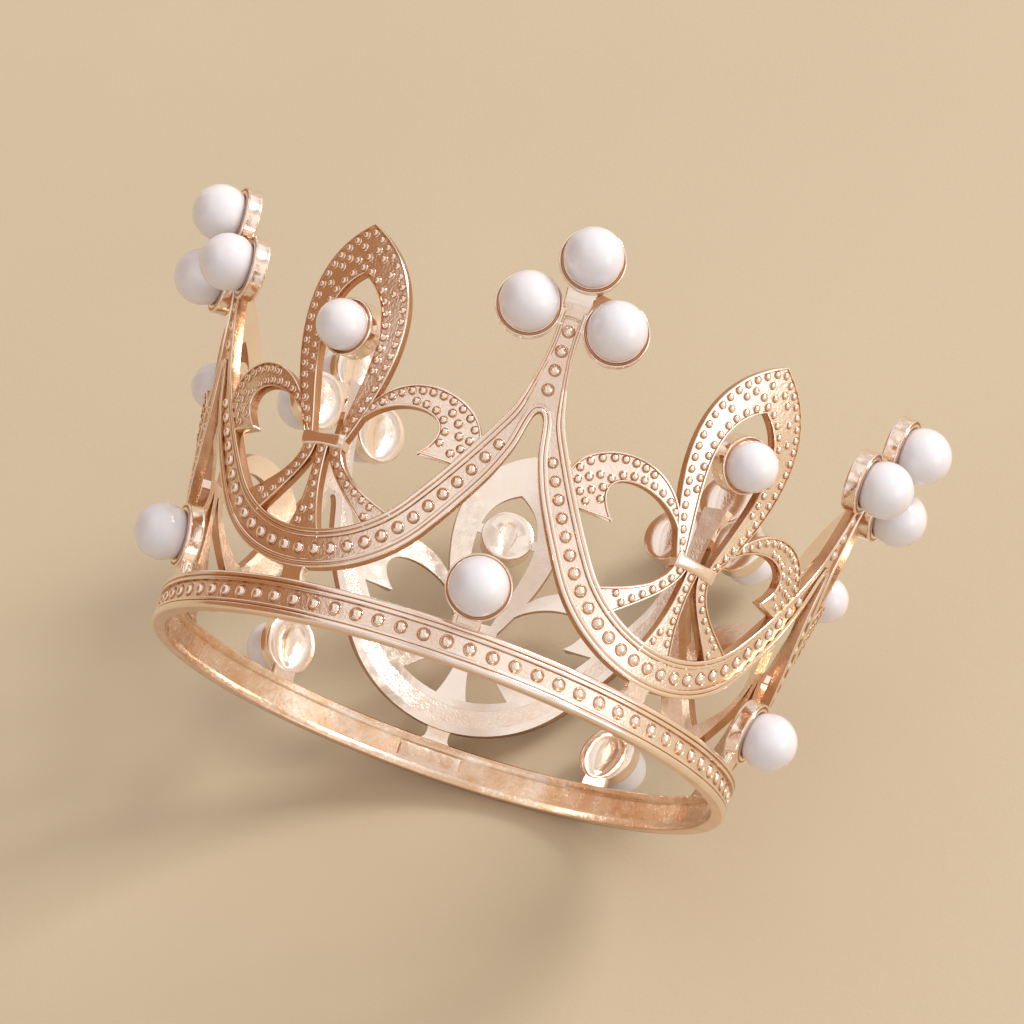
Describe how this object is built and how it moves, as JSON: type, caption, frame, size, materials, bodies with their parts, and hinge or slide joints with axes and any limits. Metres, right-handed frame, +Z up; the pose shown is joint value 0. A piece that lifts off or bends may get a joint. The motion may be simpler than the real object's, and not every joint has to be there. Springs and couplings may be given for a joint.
{
  "type": "mini crown hair ornament",
  "caption": "Round open crown for a bun or half-up hair: flared metal wall of swag arches and fleur-de-lis on a beaded band, with round pearls on cups.",
  "frame": {"origin": "centre of the band's bottom plane, on the crown's axis", "axes": "+Z up along the crown's axis of fivefold symmetry; the front peak faces -Y; +X is to the right seen from the front"},
  "size_m": [0.1112, 0.111, 0.0601],
  "materials": {
    "gold": "polished champagne rose-gold plate on a zinc casting",
    "solder": "plated solder, satin and slightly lumpy",
    "pearl": "white faux pearl with a soft pink and lavender lustre"
  },
  "bodies": {
    "root": {"band": "gold", "band_splice": "solder", "arch_1": "gold", "arch_2": "gold", "arch_3": "gold", "arch_4": "gold", "arch_5": "gold", "fleur_1": "gold", "fleur_2": "gold", "fleur_3": "gold", "fleur_4": "gold", "fleur_5": "gold", "peak_setting_1": "gold", "peak_setting_2": "gold", "peak_setting_3": "gold", "peak_setting_4": "gold", "peak_setting_5": "gold", "band_setting_1": "gold", "band_setting_2": "gold", "band_setting_3": "gold", "band_setting_4": "gold", "band_setting_5": "gold", "fleur_setting_1": "gold", "fleur_setting_2": "gold", "fleur_setting_3": "gold", "fleur_setting_4": "gold", "fleur_setting_5": "gold", "peak_top_pearl_1": "pearl", "peak_top_pearl_2": "pearl", "peak_top_pearl_3": "pearl", "peak_top_pearl_4": "pearl", "peak_top_pearl_5": "pearl", "peak_left_pearl_1": "pearl", "peak_left_pearl_2": "pearl", "peak_left_pearl_3": "pearl", "peak_left_pearl_4": "pearl", "peak_left_pearl_5": "pearl", "peak_right_pearl_1": "pearl", "peak_right_pearl_2": "pearl", "peak_right_pearl_3": "pearl", "peak_right_pearl_4": "pearl", "peak_right_pearl_5": "pearl", "band_pearl_1": "pearl", "band_pearl_2": "pearl", "band_pearl_3": "pearl", "band_pearl_4": "pearl", "band_pearl_5": "pearl", "fleur_pearl_1": "pearl", "fleur_pearl_2": "pearl", "fleur_pearl_3": "pearl", "fleur_pearl_4": "pearl", "fleur_pearl_5": "pearl"}
  },
  "joints": []
}
